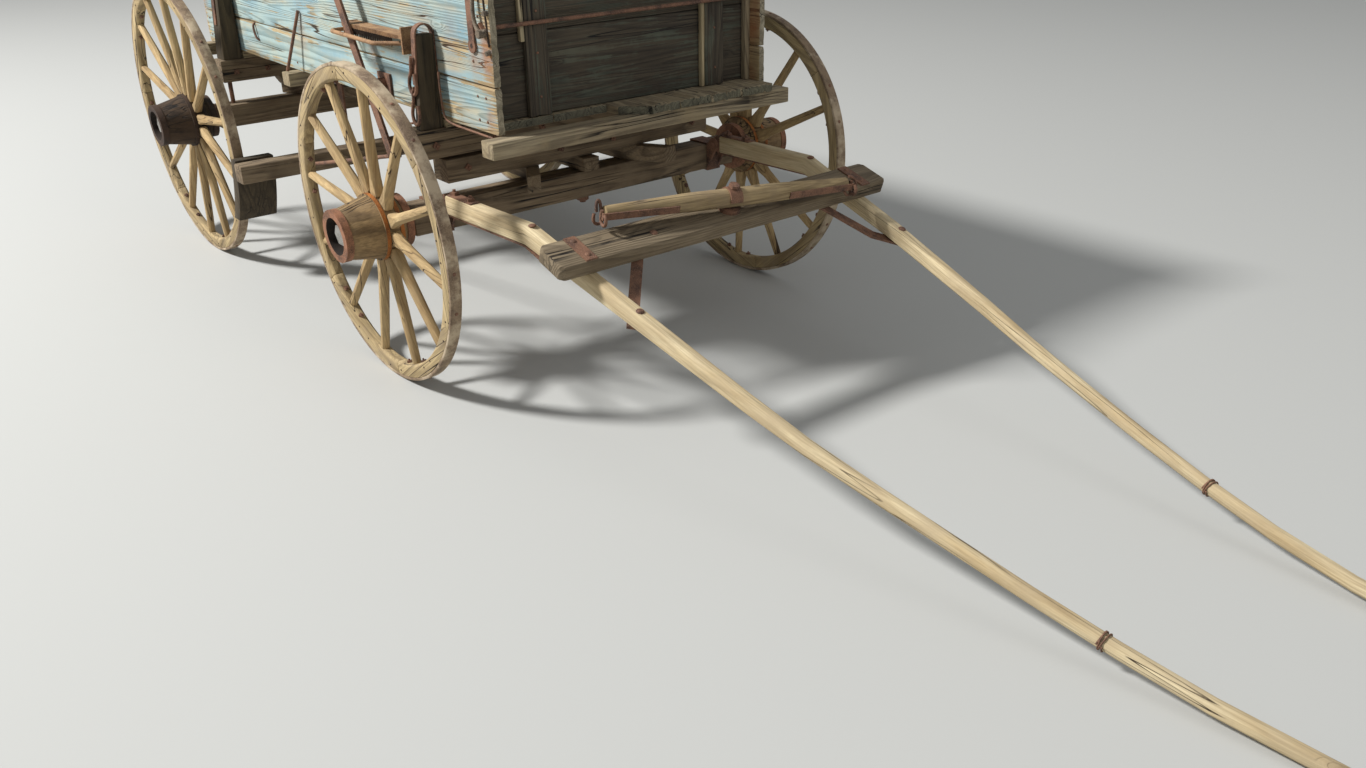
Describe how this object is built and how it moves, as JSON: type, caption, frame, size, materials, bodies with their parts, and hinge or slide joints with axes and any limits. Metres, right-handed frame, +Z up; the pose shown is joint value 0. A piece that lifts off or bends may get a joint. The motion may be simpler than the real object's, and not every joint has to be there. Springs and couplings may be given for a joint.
{
  "type": "farm wagon",
  "caption": "Old horse-drawn farm wagon: plank box on wooden bolsters, spoked wheels with iron tyres, steering fore carriage, shafts lowered to the ground.",
  "frame": {"origin": "middle of the whole object's footprint, on the ground", "axes": "+X forwards along the wagon to the shaft tips, +Y to the wagon's left, +Z up"},
  "size_m": [5.169, 1.8618, 1.4925],
  "materials": {
    "box_wood": "bare boards, weathered grey-brown, with worn remains of paint",
    "gear_wood": "bare timber, weathered and dusty",
    "wheel_wood": "old wood with faded red-brown paint",
    "shaft_wood": "bent wood, weathered and cracked",
    "iron": "rusted wrought iron",
    "tyre_iron": "rusted flat iron, worn smoother on the tread"
  },
  "bodies": {
    "wagon": {"right_side": "box_wood", "left_side": "box_wood", "floor_boards": "box_wood", "sills": "box_wood", "front_gate": "box_wood", "gate_guides": "box_wood", "box_irons": "iron", "front_bolster": "gear_wood", "rear_bolster": "gear_wood", "stakes": "gear_wood", "stake_irons": "iron", "king_bolt": "iron", "reach": "gear_wood", "rear_hounds": "gear_wood", "rear_axle": "gear_wood", "rear_skeins": "iron", "brake_shoes": "gear_wood", "brake_beam": "gear_wood", "brake_irons": "iron", "brake_lever": "iron", "brake_rack": "iron"},
    "tailgate_board": {"tailgate": "box_wood"},
    "fore_carriage": {"front_axle": "gear_wood", "front_skeins": "iron", "front_irons": "iron", "sand_board": "gear_wood", "front_hounds": "gear_wood"},
    "shaft_pair": {"right_shaft": "shaft_wood", "left_shaft": "shaft_wood", "crossbar": "shaft_wood", "shaft_irons": "iron"},
    "swing_bar": {"singletree": "shaft_wood", "singletree_irons": "iron"},
    "front_right_wheel": {"front_right_hub": "wheel_wood", "front_right_spokes": "wheel_wood", "front_right_felloes": "wheel_wood", "front_right_tyre": "tyre_iron"},
    "front_left_wheel": {"front_left_hub": "wheel_wood", "front_left_spokes": "wheel_wood", "front_left_felloes": "wheel_wood", "front_left_tyre": "tyre_iron"},
    "rear_right_wheel": {"rear_right_hub": "wheel_wood", "rear_right_spokes": "wheel_wood", "rear_right_felloes": "wheel_wood", "rear_right_tyre": "tyre_iron"},
    "rear_left_wheel": {"rear_left_hub": "wheel_wood", "rear_left_spokes": "wheel_wood", "rear_left_felloes": "wheel_wood", "rear_left_tyre": "tyre_iron"}
  },
  "joints": [
    {"name": "front_right_wheel_turn", "type": "hinge", "parent": "fore_carriage", "child": "front_right_wheel", "pos_m": [-0.2755, -0.796, 0.50835], "axis": [0, -0.9994, -0.0349], "continuous": true},
    {"name": "front_left_wheel_turn", "type": "hinge", "parent": "fore_carriage", "child": "front_left_wheel", "pos_m": [-0.2755, 0.796, 0.50835], "axis": [0, 0.9994, -0.0349], "continuous": true},
    {"name": "rear_right_wheel_turn", "type": "hinge", "parent": "wagon", "child": "rear_right_wheel", "pos_m": [-2.0255, -0.796, 0.55932], "axis": [0, -0.9994, -0.0349], "continuous": true},
    {"name": "rear_left_wheel_turn", "type": "hinge", "parent": "wagon", "child": "rear_left_wheel", "pos_m": [-2.0255, 0.796, 0.55932], "axis": [0, 0.9994, -0.0349], "continuous": true},
    {"name": "steering", "type": "hinge", "parent": "wagon", "child": "fore_carriage", "pos_m": [-0.2755, 0, 0.68935], "axis": [0, 0, 1], "range_deg": [-16, 16]},
    {"name": "shaft_lift", "type": "hinge", "parent": "fore_carriage", "child": "shaft_pair", "pos_m": [-0.1915, 0, 0.561], "axis": [0, -1, 0], "range_deg": [0, 23]},
    {"name": "singletree_swing", "type": "hinge", "parent": "shaft_pair", "child": "swing_bar", "pos_m": [0.52779, 0, 0.61889], "axis": [0.2873, 0, 0.9578], "range_deg": [-9.5, 30.5]},
    {"name": "tailgate_slide", "type": "slide", "parent": "wagon", "child": "tailgate_board", "axis": [0, 0, 1], "range_m": [0, 0.35]}
  ]
}
